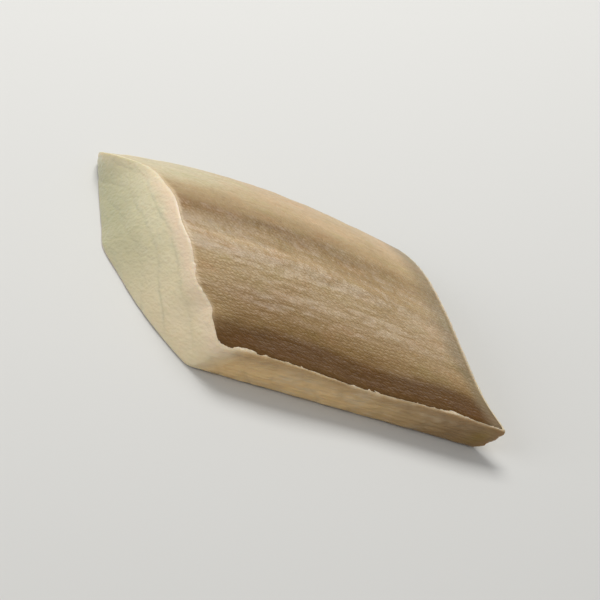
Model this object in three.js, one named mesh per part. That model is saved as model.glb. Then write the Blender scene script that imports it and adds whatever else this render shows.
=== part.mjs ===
// Desalted cod loin: one skin-on portion of the thick loin, cut across at a slant,
// lying on its flesh side with the skin up.
// Millimetres. +X runs along the grain towards the pointed corner, +Y across it, +Z up.
import * as THREE from 'three';
import { mergeVertices } from 'three/addons/utils/BufferGeometryUtils.js';

// Driving sizes of the portion
const LENGTH = 84.5; // along the grain, from cut to cut
const WIDTH = 80.5; // across the grain at the first cut
const WIDTH_LOST = 7.5; // how much narrower it is at the second cut
const BACK_BOW = 6; // how far the back edge swells between the cuts
const RIDGE_THICK = 22.3; // the ridge at the first cut, where it is thickest
const RIDGE_THIN = 17; // the same ridge at the second cut
const RIDGE_SHARE = 0.49; // how far across the ridge runs
const BACK_HEIGHT = 5.6; // the thin edge at the back
const HEEL_HEIGHT = 3.4; // the same edge at its corner on the first cut
const HEEL_SHARE = 0.25; // the share of the length over which it thins to that
const FRONT_FALL = 1.7; // how roundly the skin falls from the ridge to the front, as a power
const BACK_FALL = 2.3; // and to the thin edge

// The skin's lower edge along the front flank
const FRONT_HEIGHT = 10.5; // over the underside at the first cut
const TIP_HEIGHT = 8.7; // and at the second
const FRONT_RISE = 0.9; // how much higher it is between the cuts
const RISE_FLATNESS = 4; // a power: the higher, the longer it stays up before it falls to the cuts
const WAVE_HEIGHT = 0.95; // a slow wave in it
const WAVE_PITCH = 76;
const WAVE_START = 7.6;

// The two parallel knife cuts and the corners
const CUT_SKEW = THREE.MathUtils.degToRad(32); // away from square across the grain, seen from above
const CUT_LEAN = 0.84; // drift towards +X for each millimetre of height
const CUT_BOW = 10.4; // bow of a cut in its run, seen from above
const BOW_SHARE = 0.88; // below 1 the bow is fullest in front of the middle
const CORNER_RADII = [[1.2, 1], [1.6, 7.7]]; // front and back corner of the first cut, then of the second
const TIP_REACH = 2.3; // how far the sharp corner is drawn out
const TIP_SPREAD = 4; // the distance over which that fades
const HEEL_SPREAD = 7; // the back corner of the first cut stands upright; its lean comes back over this

// Skin, flesh sides and relief
const SKIN_STEP = 0.3; // how far the skin stands up over the rim of flesh round it
const SKIN_SETBACK = 0.4; // how far inside that rim it ends
const SIDE_BULGE = 0.5; // how far the flesh's sides stand out between their rounded edges
const EDGE_TIGHTNESS = 8; // a power: the higher, the tighter those edges are rounded
const UNDER_TUCK = 0.5; // how far the sides draw in at the underside
const TUCK_FADE = 6; // a power: the higher, the sooner that ends above the underside
const FOOT_BULGE = 1.6; // the flesh sags out at the foot of the first cut
const FOOT_PLACE = 0.52; // how far across that is
const FOOT_SPREAD = 0.09;
const FOOT_FADE = 1.5; // a power: the higher, the sooner it ends above the underside
const FOLD_HEIGHT = 0.4; // shallow folds along the skin
const FOLD_FADE = 3; // a power: the higher, the closer they come to the second cut
const FOLD_SPREAD = 3; // a power: the higher, the more they keep to the middle of the skin
const FOLD_PITCH = 18.4;
const FOLD_START = 29.6; // how far across the first fold's crest runs
const FOLD_DRIFT = 1.6; // how far a fold wanders sideways
const FOLD_TURN = 3; // radians by which that wandering lags from the front edge to the back
const FLAKE_HEIGHT = 0.3; // edges of the flakes on the cuts
const FLAKE_PITCH = 9;
const FLAKE_SWEEP = 5; // how far a flake's edge leans from the underside to the skin
const GRAIN_HEIGHT = 0.25; // long waves along the flank
const GRAIN_PITCH = 17;
const GRAIN_TURN = 4; // radians by which they slant from the underside to the skin

// How finely the surface is drawn
const ALONG_STEPS = 50;
const ACROSS_STEPS = 44;
const ACROSS_CROWDING = 0.6; // from 0, even steps, to 1, crowded at the front and back
const FLESH_ROWS = 8;
const MERGE_DISTANCE = 1e-4;

const TAU = 2 * Math.PI;
const { clamp, lerp } = THREE.MathUtils;

// u runs from 0 to 1 along the grain and v across it; v's steps crowd where the skin turns down
const alongShare = (step) => step / ALONG_STEPS;
function acrossShare(step) {
  const even = step / ACROSS_STEPS;
  return lerp(even, (1 - Math.cos(Math.PI * even)) / 2, ACROSS_CROWDING);
}

// Shallow lengthwise folds in the skin, which die away at its sides and towards the second cut
function skinFold(u, v) {
  const drift = FOLD_DRIFT * Math.sin(TAU * u + FOLD_TURN * v);
  const fade = Math.sin(Math.PI * v) ** FOLD_SPREAD * (1 - u ** FOLD_FADE);
  return FOLD_HEIGHT * fade * Math.cos((TAU * (WIDTH * v - FOLD_START + drift)) / FOLD_PITCH);
}

// Height of the skin's lower edge over the underside
function frontHeight(u) {
  const rise = FRONT_RISE * (1 - (2 * u - 1) ** RISE_FLATNESS);
  const wave = Math.cos((TAU * (LENGTH * u - WAVE_START)) / WAVE_PITCH) * Math.sin(Math.PI * u);
  return lerp(FRONT_HEIGHT, TIP_HEIGHT, u) + rise + WAVE_HEIGHT * wave;
}

// Height of the thin back edge over the underside
function backHeight(u) {
  const nearHeel = Math.max(1 - u / HEEL_SHARE, 0);
  return lerp(BACK_HEIGHT, HEEL_HEIGHT, nearHeel * nearHeel);
}

// Height of the skin over the underside
function skinHeight(u, v) {
  const ridge = lerp(RIDGE_THICK, RIDGE_THIN, u);
  const toFront = v < RIDGE_SHARE;
  const away = toFront ? (RIDGE_SHARE - v) / RIDGE_SHARE : (v - RIDGE_SHARE) / (1 - RIDGE_SHARE);
  const edge = toFront ? frontHeight(u) : backHeight(u);
  return lerp(ridge, edge, away ** (toFront ? FRONT_FALL : BACK_FALL)) + skinFold(u, v);
}

// How far the flesh stands out from the block's side; rise is 0 at the underside and 1 at the skin
function fleshSide(u, v, rise) {
  const swell = Math.sqrt(1 - Math.abs(2 * rise - 1) ** EDGE_TIGHTNESS);
  const flake = Math.cos((TAU * (WIDTH * v + FLAKE_SWEEP * rise * rise)) / FLAKE_PITCH);
  const grain = Math.sin((TAU * LENGTH * u) / GRAIN_PITCH + GRAIN_TURN * rise);
  const onCut = FLAKE_HEIGHT * flake * Math.sin(Math.PI * v);
  const onFlank = GRAIN_HEIGHT * grain * Math.sin(Math.PI * u);
  const sag = Math.exp(-(((v - FOOT_PLACE) / FOOT_SPREAD) ** 2)) * (1 - u);
  const foot = FOOT_BULGE * sag * (1 - rise) ** FOOT_FADE;
  return swell * (SIDE_BULGE + onCut + onFlank) + foot - UNDER_TUCK * (1 - rise) ** TUCK_FADE;
}

// Moves a point near a corner of the block onto that corner's round;
// inX and inY are its distances from the two sides
function roundCorner(inX, inY, radius) {
  const a = 1 - inX / radius;
  const b = 1 - inY / radius;
  if (a <= 0 || b <= 0) return [inX, inY];
  const round = (along, other) => radius * (1 - along * Math.sqrt(1 - (other * other) / 2));
  return [round(a, b), round(b, a)];
}

// Carries a point of the straight block, spread by out past its sides, onto the slanted loin
function place(u, v, out, z) {
  const nearFirstCut = u < 0.5;
  const nearFront = v < 0.5;
  const length = LENGTH + 2 * out;
  const width = WIDTH - WIDTH_LOST * u + BACK_BOW * Math.sin(Math.PI * u) + 2 * out;
  const radius = CORNER_RADII[nearFirstCut ? 0 : 1][nearFront ? 0 : 1];
  const [inX, inY] = roundCorner(Math.min(u, 1 - u) * length, Math.min(v, 1 - v) * width, radius);
  const x = (nearFirstCut ? inX : length - inX) - out;
  const y = (nearFront ? inY : width - inY) - out;
  const tip = TIP_REACH * Math.exp(-((LENGTH - x) ** 2 + y * y) / (2 * TIP_SPREAD ** 2));
  const bow = CUT_BOW * Math.sin(Math.PI * clamp(y / WIDTH, 0, 1) ** BOW_SHARE);
  const heel = Math.exp(-(x * x + (WIDTH - y) ** 2) / (2 * HEEL_SPREAD ** 2));
  return [x + tip - Math.tan(CUT_SKEW) * y - bow + CUT_LEAN * z * (1 - heel), y, z];
}

// A point of the skin, or lower under it; the skin is drawn in from the rim of flesh round it
function skinPoint(u, v, lower = 0) {
  const drawnIn = (share, span) => lerp(SKIN_SETBACK / span, 1 - SKIN_SETBACK / span, share);
  const [inU, inV] = [drawnIn(u, LENGTH), drawnIn(v, WIDTH)];
  return place(inU, inV, 0, skinHeight(inU, inV) - lower);
}

// Shares of the block's outline in order, counter-clockwise seen from above
function outlineShares() {
  const shares = [];
  for (let i = 0; i < ALONG_STEPS; i++) shares.push([alongShare(i), 0]);
  for (let j = 0; j < ACROSS_STEPS; j++) shares.push([1, acrossShare(j)]);
  for (let i = ALONG_STEPS; i > 0; i--) shares.push([alongShare(i), 1]);
  for (let j = ACROSS_STEPS; j > 0; j--) shares.push([0, acrossShare(j)]);
  return shares;
}

// The outline at each level from the underside up: the flesh, the foot of the skin's edge, its top.
// The levels crowd at the underside and at the skin, where the sides are rounded
function sideRings() {
  const shares = outlineShares();
  const rings = [];
  for (let row = 0; row <= FLESH_ROWS; row++) {
    const rise = (1 - Math.cos((Math.PI * row) / FLESH_ROWS)) / 2;
    const level = (u, v) => rise * (skinHeight(u, v) - SKIN_STEP);
    rings.push(shares.map(([u, v]) => place(u, v, fleshSide(u, v, rise), level(u, v))));
  }
  rings.push(shares.map(([u, v]) => skinPoint(u, v, SKIN_STEP)));
  rings.push(shares.map(([u, v]) => skinPoint(u, v)));
  return rings;
}

function sideTriangles(rings) {
  const triangles = [];
  for (let level = 0; level + 1 < rings.length; level++) {
    const [low, high] = [rings[level], rings[level + 1]];
    low.forEach((corner, i) => {
      const next = (i + 1) % low.length;
      triangles.push([corner, low[next], high[next]], [corner, high[next], high[i]]);
    });
  }
  return triangles;
}

function skinTriangles() {
  const at = (i, j) => skinPoint(alongShare(i), acrossShare(j));
  const triangles = [];
  for (let i = 0; i < ALONG_STEPS; i++) {
    for (let j = 0; j < ACROSS_STEPS; j++) {
      const [corner, along, across, opposite] = [at(i, j), at(i + 1, j), at(i, j + 1), at(i + 1, j + 1)];
      triangles.push([corner, along, opposite], [corner, opposite, across]);
    }
  }
  return triangles;
}

// The flat underside on which the portion lies
function baseTriangles(ring) {
  const outline = ring.map(([x, y]) => new THREE.Vector2(x, y));
  return THREE.ShapeUtils.triangulateShape(outline, []).map(([a, b, c]) => [ring[c], ring[b], ring[a]]);
}

function loinGeometry() {
  const rings = sideRings();
  const triangles = [...baseTriangles(rings[0]), ...sideTriangles(rings), ...skinTriangles()];
  const soup = new THREE.BufferGeometry();
  soup.setAttribute('position', new THREE.Float32BufferAttribute(triangles.flat(2), 3));
  const solid = mergeVertices(soup, MERGE_DISTANCE);
  solid.computeBoundingBox();
  const middle = solid.boundingBox.getCenter(new THREE.Vector3());
  solid.translate(-middle.x, -middle.y, 0);
  solid.computeVertexNormals();
  return solid;
}

function codLoin() {
  const flesh = new THREE.MeshStandardMaterial({ color: 0xd9d2b8, roughness: 0.45, metalness: 0 });
  const loin = new THREE.Mesh(loinGeometry(), flesh);
  loin.name = 'cod_loin';
  return loin;
}

const part = new THREE.Group();
part.add(codLoin());

export default part;
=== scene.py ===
import math

import bpy
from mathutils import Euler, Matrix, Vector


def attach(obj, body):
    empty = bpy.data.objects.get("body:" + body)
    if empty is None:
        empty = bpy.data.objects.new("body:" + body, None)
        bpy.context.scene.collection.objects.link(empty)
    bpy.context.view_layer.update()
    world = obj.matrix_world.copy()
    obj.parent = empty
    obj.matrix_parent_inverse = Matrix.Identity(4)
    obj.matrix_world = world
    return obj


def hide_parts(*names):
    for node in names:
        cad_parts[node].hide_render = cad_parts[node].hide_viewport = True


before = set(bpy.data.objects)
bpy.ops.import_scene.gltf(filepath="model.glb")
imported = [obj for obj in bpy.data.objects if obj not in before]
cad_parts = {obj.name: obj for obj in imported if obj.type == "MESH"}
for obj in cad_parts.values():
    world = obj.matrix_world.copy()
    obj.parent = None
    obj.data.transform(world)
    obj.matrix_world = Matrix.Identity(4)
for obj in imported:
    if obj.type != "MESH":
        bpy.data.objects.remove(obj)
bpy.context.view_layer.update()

MM = 0.001
TAU = 2 * math.pi

# Driving sizes of the portion: lengths in millimetres, and falls, slopes and shares as plain numbers.
# Each is an input of the shape trees below
SIZES = {
    "Length": 84.5,
    "Width": 80.5,
    "Width lost": 7.5,
    "Back bow": 6,
    "Ridge thick": 22.3,
    "Ridge thin": 17,
    "Ridge share": 0.49,
    "Back height": 5.6,
    "Heel height": 3.4,
    "Heel share": 0.25,
    "Front fall": 1.7,
    "Back fall": 2.3,
    "Front height": 10.5,
    "Tip height": 8.7,
    "Front rise": 0.9,
    "Wave height": 0.95,
    "Wave pitch": 76,
    "Wave start": 7.6,
    "Cut skew": math.tan(math.radians(32)),
    "Cut lean": 0.84,
    "Cut bow": 10.4,
    "Bow share": 0.88,
    "First front corner": 1.2,
    "First back corner": 1,
    "Second front corner": 1.6,
    "Second back corner": 7.7,
    "Tip reach": 2.3,
    "Tip spread": 4,
    "Heel spread": 7,
    "Skin thickness": 1.2,
    "Skin step": 0.3,
    "Skin setback": 0.4,
    "Skin cover": 0.6,
    "Under tuck": 0.5,
    "Foot bulge": 1.6,
    "Foot place": 0.52,
    "Foot spread": 0.09,
    "Side bulge": 0.5,
    "Rim wave": 1.2,
    "Fold height": 0.4,
    "Fold pitch": 18.4,
    "Fold start": 29.6,
    "Fold drift": 1.6,
    "Flake pitch": 7.5,
    "Flake depth": 0.38,
    "Chevron pitch": 10.5,
    "Chevron depth": 0.5,
}
LENGTH = SIZES["Length"]
WIDTH = SIZES["Width"]
MIDDLE = (21.29, 41.61)  # middle of the box, from the front corner of the first cut
WAYS = ("along", "across", "up")  # of the grain, as the points of a block are counted

# Steps in the first cut's upper edge: the place and reach of each across the grain, and its height as a
# share of the wave
RIM_STEPS = [(0.22, 0.05, 1.0), (0.135, 0.03, -0.9), (0.03, 0.03, 0.3)]
RIM_WAVE_REACH = 0.09  # share of the length over which the steps fade away

# The flakes are nested shells round a line under the table, and their edges slant along the flank
FLAKE_CENTRE_DROP = 14
FLAKE_STEEPNESS = 1.4
FLAKE_WANDER = 0.55
FLAKE_WANDER_SIZE = 14
FLANK_SLANT = 1.3
FLANK_SPACING = 1.3
CHEVRON_MIDDLE = 0.45
CHEVRON_LEAD = 22  # how far an edge runs along the grain, from the middle out over half the width

# Heights of the fine relief, in millimetres
CUT_RELIEF = {"swells": 0.4, "lumps": 0.16, "grit": 0.09}
FLANK_RELIEF = {"swells": 0.45, "lumps": 0.4, "fibres": 0.3, "grit": 0.12}
SKIN_RELIEF = {"swells": 0.3, "wrinkles": 0.17, "dimples": 0.12}
FLESH_RIM = (1.0, 3.0)  # distances from the sides between which the skin comes to cover the flesh
FLESH_RIM_RELIEF = 0.2
SKIN_RAGGED = 0.4
SKIN_ROUNDED = 0.2
SKIN_WORN = 0.6  # share of the skin's step that is worn away at its edge
SKIN_WORN_REACH = 1.2


class Value:
    """One output of a node tree. Arithmetic on it adds Math nodes."""

    def __init__(self, tree, socket):
        self.tree, self.socket = tree, socket

    def __add__(self, other):
        return self.tree.math("ADD", self, other)

    def __radd__(self, other):
        return self.tree.math("ADD", other, self)

    def __sub__(self, other):
        return self.tree.math("SUBTRACT", self, other)

    def __rsub__(self, other):
        return self.tree.math("SUBTRACT", other, self)

    def __mul__(self, other):
        return self.tree.math("MULTIPLY", self, other)

    def __rmul__(self, other):
        return self.tree.math("MULTIPLY", other, self)

    def __truediv__(self, other):
        return self.tree.math("DIVIDE", self, other)

    def __rtruediv__(self, other):
        return self.tree.math("DIVIDE", other, self)

    def __pow__(self, other):
        return self.tree.math("POWER", self, other)

    def __abs__(self):
        return self.tree.math("ABSOLUTE", self)

    def __neg__(self):
        return self.tree.math("MULTIPLY", self, -1)


class Tree:
    """Adds nodes to one tree, for a shape or for a finish."""

    def __init__(self, tree):
        self.tree = tree

    def node(self, kind, settings=None, sockets=None):
        node = self.tree.nodes.new(kind)
        for name, value in (settings or {}).items():
            setattr(node, name, value)
        for key, value in (sockets or {}).items():
            if isinstance(value, Value):
                self.tree.links.new(value.socket, node.inputs[key])
            else:
                node.inputs[key].default_value = value
        return node

    def out(self, node, key=0):
        return Value(self, node.outputs[key])

    def math(self, operation, *operands):
        return self.out(self.node("ShaderNodeMath", {"operation": operation}, dict(enumerate(operands))))

    def sine(self, angle):
        return self.math("SINE", angle)

    def highest(self, first, second):
        return self.math("MAXIMUM", first, second)

    def lowest(self, first, second):
        return self.math("MINIMUM", first, second)

    def step(self, value, low, high):
        """Rises smoothly from 0 at low to 1 at high."""
        settings = {"interpolation_type": "SMOOTHSTEP"}
        sockets = {"Value": value, "From Min": low, "From Max": high}
        return self.out(self.node("ShaderNodeMapRange", settings, sockets))

    def band(self, value, centre, reach):
        """1 at the centre, falling away like a bell over the reach."""
        off = (value - centre) / reach
        return self.math("EXPONENT", -(off * off))

    def vector(self, x, y, z=0.0):
        return self.out(self.node("ShaderNodeCombineXYZ", {}, {"X": x, "Y": y, "Z": z}))

    def split(self, vector):
        node = self.node("ShaderNodeSeparateXYZ", {}, {0: vector})
        return [self.out(node, key) for key in "XYZ"]

    def noise(self, vector, detail=2.0, roughness=0.5):
        """Soft noise from about -1 to 1, with features one unit of the vector across."""
        sockets = {"Vector": vector, "Scale": 1.0, "Detail": detail, "Roughness": roughness}
        return self.out(self.node("ShaderNodeTexNoise", {"noise_dimensions": "3D"}, sockets)) * 2 - 1

    def cells(self, vector, feature, output, randomness=1.0):
        sockets = {"Vector": vector, "Scale": 1.0, "Randomness": randomness}
        return self.out(self.node("ShaderNodeTexVoronoi", {"feature": feature}, sockets), output)

    def blend(self, first, second, share, way="MIX"):
        """Colour between two colours, or the first one multiplied by the second."""
        settings = {"data_type": "RGBA", "blend_type": way}
        return self.out(self.node("ShaderNodeMix", settings, {0: share, 6: first, 7: second}), 2)

    def ramp(self, value, stops):
        """Colour along a value, through stops that each have a place and a colour."""
        node = self.node("ShaderNodeValToRGB", {}, {0: value})
        band = node.color_ramp
        band.interpolation = "EASE"
        while len(band.elements) < len(stops):
            band.elements.new(1.0)
        for element, (place_at, tone) in zip(band.elements, stops):
            element.position, element.color = place_at, tone
        return self.out(node)


# Shape


def crease(tree, phase):
    """1 in a narrow line wherever the phase is a whole number, 0 between the lines."""
    return (1 - abs(tree.sine(phase * math.pi))) ** 3


def flake_phases(tree, x, y, z, pitch):
    """Phases that are whole at the edges of the flakes: nested arcs on a cut, slanting lines on a flank."""
    wander = FLAKE_WANDER * tree.noise(tree.vector(*(way / FLAKE_WANDER_SIZE for way in (x, y, z))))
    rise = (z + FLAKE_CENTRE_DROP) * FLAKE_STEEPNESS
    off = y - 0.5 * WIDTH
    reach = tree.math("SQRT", off * off + rise * rise)
    return reach / pitch + wander, (x + FLANK_SLANT * z) / (FLANK_SPACING * pitch) + wander


def from_sides(tree, x, y):
    """How far a point of the straight block is from its nearest side."""
    return tree.lowest(tree.lowest(x, LENGTH - x), tree.lowest(y, WIDTH - y))


def raised(forms, heights):
    """The sum of the forms named in the heights, each raised by its own height."""
    return sum(height * forms[label] for label, height in heights.items())


def skin_height(tree, size, u, v):
    """Height of the skin over the table; u runs from 0 to 1 along the grain and v across it."""
    ridge = size["Ridge thick"] + (size["Ridge thin"] - size["Ridge thick"]) * u
    rise = size["Front rise"] * (1 - (u * 2 - 1) ** 4)
    wave = tree.math("COSINE", TAU * (size["Length"] * u - size["Wave start"]) / size["Wave pitch"])
    edge = size["Front height"] + (size["Tip height"] - size["Front height"]) * u
    front = edge + rise + size["Wave height"] * wave * tree.sine(math.pi * u)
    share = size["Ridge share"]
    to_front = tree.highest((share - v) / share, 0) ** size["Front fall"]
    to_back = tree.highest((v - share) / (1 - share), 0) ** size["Back fall"]
    near_heel = tree.highest(1 - u / size["Heel share"], 0)
    back = size["Back height"] + (size["Heel height"] - size["Back height"]) * near_heel * near_heel
    crest = size["Width"] * v - size["Fold start"] + size["Fold drift"] * tree.sine(TAU * u + 3 * v)
    fade = tree.sine(math.pi * v) ** 3 * (1 - u ** 3)
    fold = size["Fold height"] * fade * tree.math("COSINE", TAU * crest / size["Fold pitch"])
    return ridge - (ridge - front) * to_front - (ridge - back) * to_back + fold


def rim_wave(tree, size, u, v):
    """How far the first cut's upper edge steps out, and then in, near its front corner."""
    steps = sum(share * tree.band(v, centre, reach) for centre, reach, share in RIM_STEPS)
    return size["Rim wave"] * steps * (1 - tree.step(u, 0.0, RIM_WAVE_REACH))


def place(tree, size, u, v, out_x, out_y, z):
    """Carries a point of the straight block, spread past its sides, onto the slanted loin."""
    second = tree.math("GREATER_THAN", u, 0.5)
    back = tree.math("GREATER_THAN", v, 0.5)
    length = size["Length"] + 2 * out_x
    width = size["Width"] - size["Width lost"] * u + size["Back bow"] * tree.sine(math.pi * u) + 2 * out_y
    front_radius = size["First front corner"] * (1 - second) + size["Second front corner"] * second
    back_radius = size["First back corner"] * (1 - second) + size["Second back corner"] * second
    radius = front_radius * (1 - back) + back_radius * back
    a = tree.highest(1 - tree.lowest(u, 1 - u) * length / radius, 0)
    b = tree.highest(1 - tree.lowest(v, 1 - v) * width / radius, 0)
    in_x = radius * a * (1 - tree.math("SQRT", 1 - b * b / 2))
    in_y = radius * b * (1 - tree.math("SQRT", 1 - a * a / 2))
    x = u * length - out_x + in_x * (1 - 2 * second)
    y = v * width - out_y + in_y * (1 - 2 * back)
    from_tip = (size["Length"] - x) * (size["Length"] - x) + y * y
    spread = size["Tip spread"] * size["Tip spread"]
    tip = size["Tip reach"] * tree.math("EXPONENT", from_tip / (-2 * spread))
    across = tree.lowest(tree.highest(y / size["Width"], 0), 1)
    bow = size["Cut bow"] * tree.sine(math.pi * across ** size["Bow share"])
    from_heel = x * x + (size["Width"] - y) * (size["Width"] - y)
    heel = tree.math("EXPONENT", from_heel / (-2 * size["Heel spread"] * size["Heel spread"]))
    x = x + tip - size["Cut skew"] * y - bow + size["Cut lean"] * z * (1 - heel)
    return tree.vector((x - MIDDLE[0]) * MM, (y - MIDDLE[1]) * MM, z * MM)


def block_tree(name):
    """A tree with its sizes as inputs, which starts from a block that is one unit each way."""
    group = bpy.data.node_groups.new(name, "GeometryNodeTree")
    for label in SIZES:
        group.interface.new_socket(label, in_out="INPUT", socket_type="NodeSocketFloat")
    for way in WAYS:
        group.interface.new_socket(f"Points {way}", in_out="INPUT", socket_type="NodeSocketInt")
    group.interface.new_socket("Geometry", in_out="OUTPUT", socket_type="NodeSocketGeometry")
    tree = Tree(group)
    given = tree.node("NodeGroupInput")
    size = {label: tree.out(given, label) for label in SIZES}
    counts = {f"Vertices {axis}": tree.out(given, f"Points {way}") for axis, way in zip("XYZ", WAYS)}
    block = tree.node("GeometryNodeMeshCube", {}, {"Size": (1, 1, 1), **counts})
    shares = [share + 0.5 for share in tree.split(tree.out(tree.node("GeometryNodeInputPosition")))]
    return tree, size, keep_vector(tree, tree.out(block), "share", shares), shares


def keep_vector(tree, geometry, name, parts):
    """Stores a vector at each point of the mesh, for the finish to read."""
    keep = {"data_type": "FLOAT_VECTOR", "domain": "POINT"}
    sockets = {"Geometry": geometry, "Name": name, "Value": tree.vector(*parts)}
    return tree.out(tree.node("GeometryNodeStoreNamedAttribute", keep, sockets))


def finish_tree(tree, geometry, spot, position, material):
    """Ends a shape tree. The spot is where a point was in the straight block, in millimetres."""
    geometry = keep_vector(tree, geometry, "spot", spot)
    moved = tree.node("GeometryNodeSetPosition", {}, {"Geometry": geometry, "Position": position})
    smooth = tree.node("GeometryNodeSetShadeSmooth", {}, {"Geometry": tree.out(moved)})
    real = tree.node("GeometryNodeRealizeInstances", {}, {"Geometry": tree.out(smooth)})
    dressed = tree.node("GeometryNodeSetMaterial", {}, {"Geometry": tree.out(real), "Material": material})
    tree.node("NodeGroupOutput", {}, {"Geometry": tree.out(dressed)})
    return tree.tree


def flesh_tree(material):
    tree, size, geometry, (u, v, w) = block_tree("flesh_shape")
    x, y = LENGTH * u, WIDTH * v

    # A rim of flesh shows all round the skin, and further in the skin covers it
    covered = tree.step(from_sides(tree, x, y), *FLESH_RIM)
    rim = FLESH_RIM_RELIEF * tree.noise(tree.vector(x / 2, y / 2, 3.0)) * (1 - covered)
    z = (skin_height(tree, size, u, v) - size["Skin step"] - size["Skin cover"] * covered + rim) * w

    # Fine relief on the sides, with the flake edges deeper on the second cut
    swells = tree.noise(tree.vector(x / 11, y / 11, z / 8))
    forms = {
        "swells": swells,
        "lumps": tree.noise(tree.vector(x / 3.5, y / 3.5, z / 3)),
        "grit": tree.noise(tree.vector(x / 1.3, y / 1.3, z / 1.1)),
        "fibres": tree.noise(tree.vector(x / 9, y / 2, z / 0.8)),
    }
    on_cut, on_flank = flake_phases(tree, x, y, z, size["Flake pitch"])
    depth = size["Flake depth"] * (0.6 + 0.6 * swells)
    deeper = 1 + 0.6 * tree.step(u, 0.4, 0.6)
    cut_relief = raised(forms, CUT_RELIEF) - deeper * depth * crease(tree, on_cut)
    flank_relief = raised(forms, FLANK_RELIEF) - depth * crease(tree, on_flank)

    # The sides swell out between their edges, tuck in at the table, and sag to a foot on the first cut
    edges = tree.math("SQRT", 1 - abs(w * 2 - 1) ** 8)
    tuck = size["Under tuck"] * (1 - w) ** 6
    sag = tree.band(v, size["Foot place"], size["Foot spread"]) * (1 - u)
    foot = size["Foot bulge"] * sag * (1 - w) ** 1.5
    out_x = edges * (size["Side bulge"] + cut_relief) - tuck + foot + rim_wave(tree, size, u, v) * w ** 2
    out_y = edges * (size["Side bulge"] + flank_relief) - tuck

    # Chevrons of flake edges in the underside, which stays flat between them
    sideways = abs(v - CHEVRON_MIDDLE) * 2
    chevron = crease(tree, (x + CHEVRON_LEAD * sideways) / size["Chevron pitch"] + 0.3 * swells)
    inside = tree.step(u * (1 - u), 0.0, 0.06) * tree.step(v * (1 - v), 0.0, 0.06)
    under = size["Chevron depth"] * chevron * inside * (1 - w) ** 8
    position = place(tree, size, u, v, out_x, out_y, z + under)
    return finish_tree(tree, geometry, (x, y, z), position, material)


def skin_tree(material):
    tree, size, geometry, (u, v, w) = block_tree("skin_shape")
    inset = size["Skin setback"]
    x = inset + (LENGTH - 2 * inset) * u
    y = inset + (WIDTH - 2 * inset) * v
    u, v = x / LENGTH, y / WIDTH

    # Wrinkles and dimples, calmer towards the second cut, and a worn edge
    forms = {
        "swells": tree.noise(tree.vector(x / 20, y / 14, 6.0), 1),
        "wrinkles": tree.noise(tree.vector(x / 11, y / 2.6), 3),
        "dimples": tree.noise(tree.vector(x / 3.2, y / 2.6, 4.0)),
    }
    calm = 1 - 0.8 * tree.step(u, 0.75, 1.0)
    inward = from_sides(tree, x, y) - inset
    near_edge = SKIN_WORN * size["Skin step"] * (1 - tree.step(inward, 0.0, SKIN_WORN_REACH))
    top = skin_height(tree, size, u, v) + raised(forms, SKIN_RELIEF) * calm - near_edge
    z = top - size["Skin thickness"] * (1 - w)
    ragged = SKIN_RAGGED * tree.noise(tree.vector(x / 4.5, y / 4.5, 9.0), 3, 0.6) * calm
    out = ragged - SKIN_ROUNDED * (w * 2 - 1) ** 2
    position = place(tree, size, u, v, out + rim_wave(tree, size, u, v), out, z)
    return finish_tree(tree, geometry, (x, y, z), position, material)


def grown(name, shape, points):
    """The plain mesh that a shape tree makes, as an object of its own."""
    maker = bpy.data.objects.new(f"{name}_maker", bpy.data.meshes.new(f"{name}_maker"))
    bpy.context.scene.collection.objects.link(maker)
    modifier = maker.modifiers.new("shape", "NODES")
    modifier.node_group = shape
    given = {**SIZES, **points}
    for item in shape.interface.items_tree:
        if item.in_out == "INPUT":
            whole = item.socket_type == "NodeSocketInt"
            modifier[item.identifier] = int(given[item.name]) if whole else float(given[item.name])
    depsgraph = bpy.context.evaluated_depsgraph_get()
    mesh = bpy.data.meshes.new_from_object(maker.evaluated_get(depsgraph), depsgraph=depsgraph)
    maker.modifiers.clear()
    bpy.data.objects.remove(maker)
    mesh.name = name
    piece = bpy.data.objects.new(name, mesh)
    bpy.context.scene.collection.objects.link(piece)
    return piece


# Finishes
# The shares u, v and w run from 0 to 1 along the grain, across it and up. A number under x, y or z is the
# size of a feature in millimetres


def colour(red, green, blue):
    """A screen colour, each part from 0 to 255, as the linear colour that a shader takes."""
    linear = []
    for part in (red, green, blue):
        share = part / 255
        linear.append(share / 12.92 if share <= 0.04045 else ((share + 0.055) / 1.055) ** 2.4)
    return (*linear, 1.0)


def finish_material(name, gloss):
    """Starts a finish, with the shares and the place in the straight block that each point keeps."""
    material = bpy.data.materials.new(name)
    material.use_nodes = True
    material.node_tree.nodes.clear()
    tree = Tree(material.node_tree)
    shader = tree.node("ShaderNodeBsdfPrincipled", {}, gloss)
    tree.node("ShaderNodeOutputMaterial", {}, {"Surface": tree.out(shader)})
    kept = [tree.node("ShaderNodeAttribute", {"attribute_name": label}) for label in ("share", "spot")]
    share, spot = [tree.split(tree.out(node, "Vector")) for node in kept]
    return material, tree, shader, share, spot


def feed(tree, shader, key, value):
    tree.tree.links.new(value.socket, shader.inputs[key])


def raise_bumps(tree, shader, height, strength, depth):
    bump = tree.node("ShaderNodeBump", {}, {"Strength": strength, "Distance": depth * MM, "Height": height})
    feed(tree, shader, "Normal", tree.out(bump))


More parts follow.
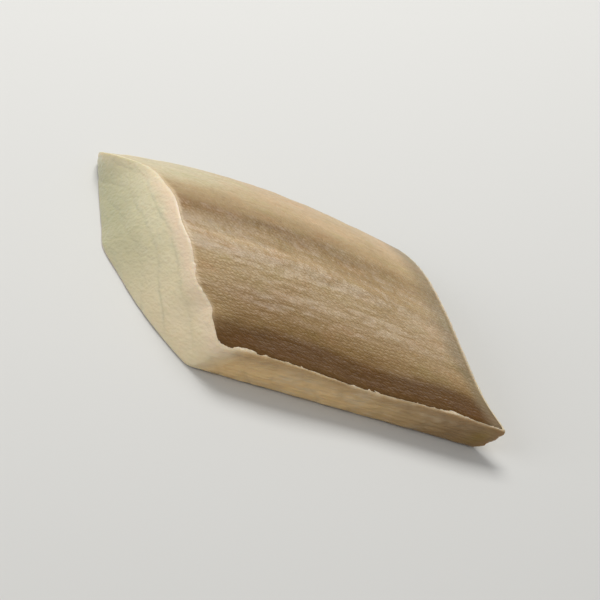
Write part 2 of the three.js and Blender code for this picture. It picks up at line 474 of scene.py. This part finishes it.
def flesh_material():
    gloss = {
        "Subsurface Weight": 0.4,
        "Subsurface Radius": (1.0, 0.7, 0.42),
        "Subsurface Scale": 0.003,
        "Coat Roughness": 0.17,
        "IOR": 1.38,
    }
    material, tree, shader, (u, v, w), (x, y, z) = finish_material("moist_flesh", gloss)
    cream = colour(210, 200, 164)
    milky = colour(223, 214, 182)
    rosy = colour(226, 208, 172)
    pale_rim = colour(234, 211, 183)
    glassy = colour(182, 176, 140)
    green_grey = colour(172, 169, 134)
    peach = colour(228, 194, 140)
    tawny = colour(140, 110, 70)
    fleck = colour(206, 188, 158)
    umber = colour(120, 96, 58)
    stain = colour(140, 112, 48)

    cloud = tree.noise(tree.vector(x / 13, y / 13, z / 11), 3)
    mottle = tree.noise(tree.vector(x / 4, y / 4, z / 3.5), 3)
    fine = tree.noise(tree.vector(x / 1.2, y / 1.2, z / 1.2), 3)
    threads = tree.noise(tree.vector(x / 14, y / 1.5, z / 1.1), 3)
    cut_side = tree.step(abs(u * 2 - 1), 0.97, 1.0)
    front_side = (1 - tree.step(v, 0.0, 0.015)) * tree.step(u + 0.01 * mottle, 0.0, 0.1)

    # Clouded cream, rosier towards the front, and grey green low on the thin side of the cuts
    # This change across a cut is partly the flesh's own tint, partly painted light and shade: lighter where
    # the cut faces up, darker where it turns from the light
    tone = tree.blend(cream, milky, tree.step(cloud + 0.5 * mottle + 0.4 * fine, -0.6, 0.9))
    tone = tree.blend(tone, rosy, 0.9 * (1 - tree.step(v, 0.05, 0.5)))
    thin_side = (1 - tree.step(w + 0.1 * cloud, 0.2, 0.95)) * tree.step(v, 0.2, 0.7)
    thin_side = thin_side * (0.9 - 0.5 * tree.step(u, 0.4, 0.6))
    tone = tree.blend(tone, green_grey, thin_side * cut_side)

    # Glassy flake edges, and a glassy back edge where the flesh is thin
    on_cut, on_flank = flake_phases(tree, x, y, z, SIZES["Flake pitch"])
    seen = tree.step(cloud + 0.5 * mottle, -0.3, 0.6)
    clear = 0.5 + 0.3 * tree.step(u, 0.4, 0.6)
    tone = tree.blend(tone, glassy, clear * crease(tree, on_cut + 0.05 * fine) * seen * cut_side)
    thin_edge = tree.step(v, 0.93, 1.0) * tree.step(mottle + 0.5 * fine, -0.6, 0.5)
    tone = tree.blend(tone, glassy, 0.45 * thin_edge)

    # The flank turns from peach to tawny towards the tip, with pale flecks and a stain near the tip
    # The flank's darker, warmer tone is partly browner flesh, partly painted shade and painted warm bounce
    # light, and so is its darkening towards the tip. It is also darker in its upper part, under the skin
    flank = tree.blend(peach, tawny, tree.step(u + 0.05 * mottle, 0.4, 0.98))
    below_edge = tree.step(w + 0.15 * mottle, 0.5, 1.05)
    flank = tree.blend(flank, tawny, 0.6 * below_edge + 0.2 * tree.step(threads, 0.05, 0.6))
    flecks = tree.step(tree.noise(tree.vector(x / 7, 5.0, z / 2), 4, 0.6) + 0.3 * cloud, -0.1, 0.5)
    flecks = flecks * tree.step(u, 0.05, 0.35) * (1 - 0.6 * tree.step(u, 0.65, 0.9))
    flank = tree.blend(flank, fleck, 0.6 * flecks)
    # Umber in the flank's flake creases is painted shade in the gaps between flakes
    flank = tree.blend(flank, umber, 0.1 * crease(tree, on_flank + 0.05 * fine) * seen)
    tone = tree.blend(tone, flank, front_side)
    stained = tree.band(u, 0.95, 0.025) * tree.band(w, 0.55, 0.4)
    tone = tree.blend(tone, stain, 0.8 * stained * front_side)

    # A pale rim close under the skin, fainter at both ends of a cut: partly pinker flesh, partly a painted
    # highlight where the rounded edge catches the light
    below_skin = z * (1 - w) / tree.highest(w, 0.1)
    rim = 1 - tree.step(below_skin + 0.8 * mottle + 0.3 * fine, 0.6, 5.0)
    ends = 1 - 0.85 * tree.step(v, 0.55, 0.85) - 0.35 * (1 - tree.step(v, 0.1, 0.42))
    tone = tree.blend(tone, pale_rim, rim * ends * (1 - 0.9 * front_side))
    feed(tree, shader, "Base Color", tone)

    # A moist gloss, duller at the lip of the rim, over fine bundles of fibres
    feed(tree, shader, "Roughness", 0.4 + 0.12 * fine)
    lip = 1 - tree.step(below_skin, 0.5, 2.0)
    feed(tree, shader, "Coat Weight", 0.5 - 0.4 * lip)
    bundles = tree.cells(tree.vector(x / 3, y / 1.0, z / 0.9), "F1", "Distance")
    raise_bumps(tree, shader, 0.7 * fine - 0.8 * bundles + 0.5 * threads, 0.4, 0.4)
    return material


# The skin's tones across the grain, from the front edge to the thin back edge
# The light stop at 0.43 and the darker ones from 0.48 to 0.56 are partly pigment, partly a painted
# highlight and painted shade on the two sides of a shallow groove. The pale back stops are partly paler
# skin, partly painted sheen where the back catches the light
SKIN_BANDS = [
    (0.00, colour(105, 74, 32)),
    (0.03, colour(97, 65, 18)),
    (0.07, colour(98, 66, 18)),
    (0.12, colour(134, 104, 58)),
    (0.18, colour(154, 126, 84)),
    (0.26, colour(164, 138, 98)),
    (0.34, colour(169, 144, 103)),
    (0.38, colour(159, 133, 92)),
    (0.43, colour(166, 139, 96)),
    (0.48, colour(154, 127, 84)),
    (0.56, colour(134, 106, 62)),
    (0.62, colour(158, 132, 91)),
    (0.69, colour(172, 149, 109)),
    (0.75, colour(186, 168, 130)),
    (0.84, colour(192, 178, 142)),
]


def skin_material():
    gloss = {
        "Subsurface Weight": 0.12,
        "Subsurface Radius": (1.0, 0.6, 0.35),
        "Subsurface Scale": 0.0015,
        "Specular IOR Level": 0.34,
        "Coat Roughness": 0.23,
        "IOR": 1.38,
    }
    material, tree, shader, (u, v, _), (x, y, _) = finish_material("streaked_skin", gloss)
    umber = colour(92, 62, 28)
    brown = colour(130, 98, 54)
    sand = colour(192, 166, 122)
    cream = colour(196, 186, 154)
    beige = colour(192, 165, 128)
    pale = colour(212, 188, 152)
    grey = colour(140, 124, 96)
    edge = colour(214, 190, 156)
    shade = (0.74, 0.69, 0.61, 1.0)
    light = (1.15, 1.15, 1.17, 1.0)
    rosy = (1.04, 0.98, 0.97, 1.0)
    olive = (0.96, 1.0, 0.92, 1.0)

    # Each noise is read at a height of its own, so that no two are alike
    streaks = tree.noise(tree.vector(x / 16, y / 2.4, 2.0), 3)
    blotches = tree.noise(tree.vector(x / 8, y / 4.5, 7.0), 3, 0.55)
    mottle = tree.noise(tree.vector(x / 2.6, y / 1.9, 3.0), 3, 0.6)
    sway = tree.noise(tree.vector(x / 25, y / 18, 1.0), 1)
    threads = tree.noise(tree.vector(x / 15, y / 1.2, 12.0))
    hues = tree.noise(tree.vector(x / 9, y / 6, 11.0))
    s = v + 0.02 * sway + 0.015 * blotches + 0.006 * streaks

    # Bands along the grain, with patches and single lines that are darker or lighter
    tone = tree.ramp(s, SKIN_BANDS)
    patch = tree.band(u, 0.24, 0.17) * tree.band(s, 0.2, 0.05)
    tone = tree.blend(tone, brown, 0.55 * patch)
    # Lighter skin along the first cut's edge: a painted highlight where the edge catches the light
    near_edge = tree.band(u, 0.0, 0.07) * tree.band(s, 0.12, 0.05)
    near_edge += tree.band(u, 0.02, 0.13) * tree.band(s, 0.3, 0.06)
    tone = tree.blend(tone, sand, 0.4 * near_edge)
    far_end = tree.step(u, 0.55, 0.85) * (tree.band(s, 0.62, 0.08) + 0.8 * tree.band(s, 0.15, 0.04))
    tone = tree.blend(tone, sand, 0.4 * far_end)
    # The thin dark line and the first light line are partly pigment along the lateral line, partly painted
    # shade and a painted highlight on the two sides of a shallow groove
    thin_line = tree.band(s, 0.565, 0.012) * tree.band(u, 0.38, 0.08)
    tone = tree.blend(tone, umber, 0.35 * thin_line)
    light_line = tree.band(s, 0.435, 0.012) * tree.band(u, 0.25, 0.2)
    light_line += 0.8 * tree.band(s, 0.715, 0.014) * tree.band(u, 0.68, 0.15)
    tone = tree.blend(tone, pale, 0.4 * light_line)

    # The back turns from cream to beige along the grain, and the second cut's end is pale and then grey
    # The pale back is partly paler skin, partly painted sheen where it catches the light; the grey at the
    # end is partly painted shade
    tone = tree.blend(tone, cream, 0.8 * (1 - tree.step(u, 0.05, 0.45)) * tree.step(s, 0.67, 0.78))
    tone = tree.blend(tone, beige, 0.8 * tree.step(u, 0.2, 0.5) * tree.step(s, 0.64, 0.76))
    tone = tree.blend(tone, pale, 0.12 * tree.band(u, 0.9, 0.05) * tree.step(s, 0.12, 0.25))
    grey_from = 0.93 - 0.05 * tree.step(s, 0.15, 0.35)
    tone = tree.blend(tone, grey, 0.75 * tree.step(u + 0.015 * blotches, grey_from, 0.98))

    # Soft clouds and streaks, freckles and a net of small scales
    tone = tree.blend(tone, rosy, tree.step(hues, 0.0, 0.5), "MULTIPLY")
    tone = tree.blend(tone, olive, tree.step(-hues, 0.0, 0.5), "MULTIPLY")
    fine_streaks = 0.5 + 0.5 * tree.step(v, 0.4, 0.6)
    tone = tree.blend(tone, shade, 0.4 * fine_streaks * tree.step(threads, 0.05, 0.5), "MULTIPLY")
    tone = tree.blend(tone, light, 0.4 * fine_streaks * tree.step(-threads, 0.05, 0.5), "MULTIPLY")
    dim = 0.45 * tree.step(blotches + 0.5 * streaks, 0.0, 1.0) + 0.25 * tree.step(mottle, 0.0, 0.9)
    tone = tree.blend(tone, shade, dim, "MULTIPLY")
    lit = tree.step(-blotches - 0.5 * streaks - 0.3 * mottle, 0.0, 1.1)
    tone = tree.blend(tone, light, lit, "MULTIPLY")
    dots = tree.cells(tree.vector(x / 3.6, y / 2.7, 5.0), "F1", "Distance")
    freckles = (1 - tree.step(dots + 0.12 * mottle, 0.1, 0.36)) * tree.step(blotches, -0.5, 0.4)
    tone = tree.blend(tone, shade, 0.55 * freckles, "MULTIPLY")
    scales = tree.vector(x / 1.5 + y / 2.2, y / 1.1)
    plate = tree.step(tree.cells(scales, "DISTANCE_TO_EDGE", "Distance", 0.5), 0.0, 0.3)
    each = tree.split(tree.cells(scales, "F1", "Color", 0.5))[0]
    tone = tree.blend(tone, shade, 0.4 * (1 - plate) + 0.25 * each, "MULTIPLY")
    tone = tree.blend(tone, light, 0.6, "MULTIPLY")

    # A paler edge, but for the front: partly thinner skin, partly a painted highlight where the edge
    # catches the light
    thin = 1 - tree.step(from_sides(tree, x, y) + 0.5 * mottle + 0.4 * blotches, 0.2, 1.6)
    thin = thin * tree.step(v, 0.03, 0.2) * (1 - 0.6 * tree.step(v, 0.6, 0.9))
    tone = tree.blend(tone, edge, 0.8 * thin)
    feed(tree, shader, "Base Color", tone)

    # A moist gloss, duller in the dark bands, over the net of scales
    feed(tree, shader, "Roughness", 0.46 + 0.1 * blotches)
    dull = 0.15 * tree.band(s, 0.54, 0.05) + 0.12 * (1 - tree.step(s, 0.08, 0.2))
    feed(tree, shader, "Coat Weight", 0.22 + 0.16 * blotches - dull)
    calm = 0.5 + 0.5 * tree.step(s, 0.06, 0.2)
    raise_bumps(tree, shader, calm * (plate + 0.3 * each + 0.4 * mottle), 0.4, 0.25)
    return material


# The pieces


def make_flesh():
    points = {"Points along": 120, "Points across": 200, "Points up": 60}
    piece = grown("loin_flesh", flesh_tree(flesh_material()), points)
    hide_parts("cod_loin")
    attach(piece, "root")


def make_skin():
    points = {"Points along": 200, "Points across": 180, "Points up": 4}
    piece = grown("loin_skin", skin_tree(skin_material()), points)
    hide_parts("cod_loin")
    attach(piece, "root")


# Floor, light and camera, in metres

FLOOR_SIDE = 5.0
FLOOR_DROP = 0.0003
FLOOR_TONE = (0.64, 0.64, 0.63, 1)
FLOOR_ROUGHNESS = 0.7
KEY_LIGHT = {"place_at": (-0.2, 0.62, 0.76), "size": 0.45, "power": 8}
FILL_LIGHT = {"place_at": (-0.85, -0.35, 0.5), "size": 0.9, "power": 3}
LIGHT_TINT = (1.0, 0.99, 0.96)
STUDIO_TINT = (1.0, 0.995, 0.98, 1)
STUDIO_STRENGTH = 0.38
CAMERA_TARGET = Vector((0.00277, -0.00957, 0.009))
CAMERA_DISTANCE = 1.496
CAMERA_ELEVATION = math.radians(38.7)
CAMERA_TURN = math.radians(7.7)  # towards the second cut, from straight in front
CAMERA_ROLL = math.radians(10.9)
CAMERA_LENS = 310
CAMERA_SENSOR = 36
CAMERA_REACH = 20


def make_floor():
    mesh = bpy.data.meshes.new("floor")
    half = FLOOR_SIDE / 2
    corners = [(-half, -half), (half, -half), (half, half), (-half, half)]
    mesh.from_pydata([(x, y, -FLOOR_DROP) for x, y in corners], [], [(0, 1, 2, 3)])
    floor = bpy.data.objects.new("floor", mesh)
    bpy.context.scene.collection.objects.link(floor)
    material = bpy.data.materials.new("pale_floor")
    material.use_nodes = True
    shader = material.node_tree.nodes["Principled BSDF"]
    shader.inputs["Base Color"].default_value = FLOOR_TONE
    shader.inputs["Roughness"].default_value = FLOOR_ROUGHNESS
    mesh.materials.append(material)


def make_light(name, place_at, size, power):
    light = bpy.data.lights.new(name, "AREA")
    light.size = size
    light.energy = power
    light.color = LIGHT_TINT
    lamp = bpy.data.objects.new(name, light)
    lamp.location = place_at
    lamp.rotation_euler = (Vector((0, 0, 0)) - lamp.location).to_track_quat("-Z", "Y").to_euler()
    bpy.context.scene.collection.objects.link(lamp)


def make_studio():
    make_light("key", **KEY_LIGHT)
    make_light("fill", **FILL_LIGHT)
    world = bpy.data.worlds.new("studio")
    world.use_nodes = True
    background = world.node_tree.nodes["Background"]
    background.inputs["Color"].default_value = STUDIO_TINT
    background.inputs["Strength"].default_value = STUDIO_STRENGTH
    bpy.context.scene.world = world
    bpy.context.scene.view_settings.view_transform = "Standard"


def make_camera():
    data = bpy.data.cameras.new("camera")
    data.lens = CAMERA_LENS
    data.sensor_width = CAMERA_SENSOR
    data.clip_end = CAMERA_REACH
    camera = bpy.data.objects.new("camera", data)
    turn = Euler((math.pi / 2 - CAMERA_ELEVATION, 0, CAMERA_TURN)).to_matrix()
    roll = Euler((0, 0, CAMERA_ROLL)).to_matrix()
    camera.rotation_euler = (turn @ roll).to_euler()
    camera.location = CAMERA_TARGET + CAMERA_DISTANCE * (turn @ Vector((0, 0, 1)))
    bpy.context.scene.collection.objects.link(camera)
    bpy.context.scene.camera = camera


make_camera()
make_flesh()
make_skin()
make_floor()
make_studio()
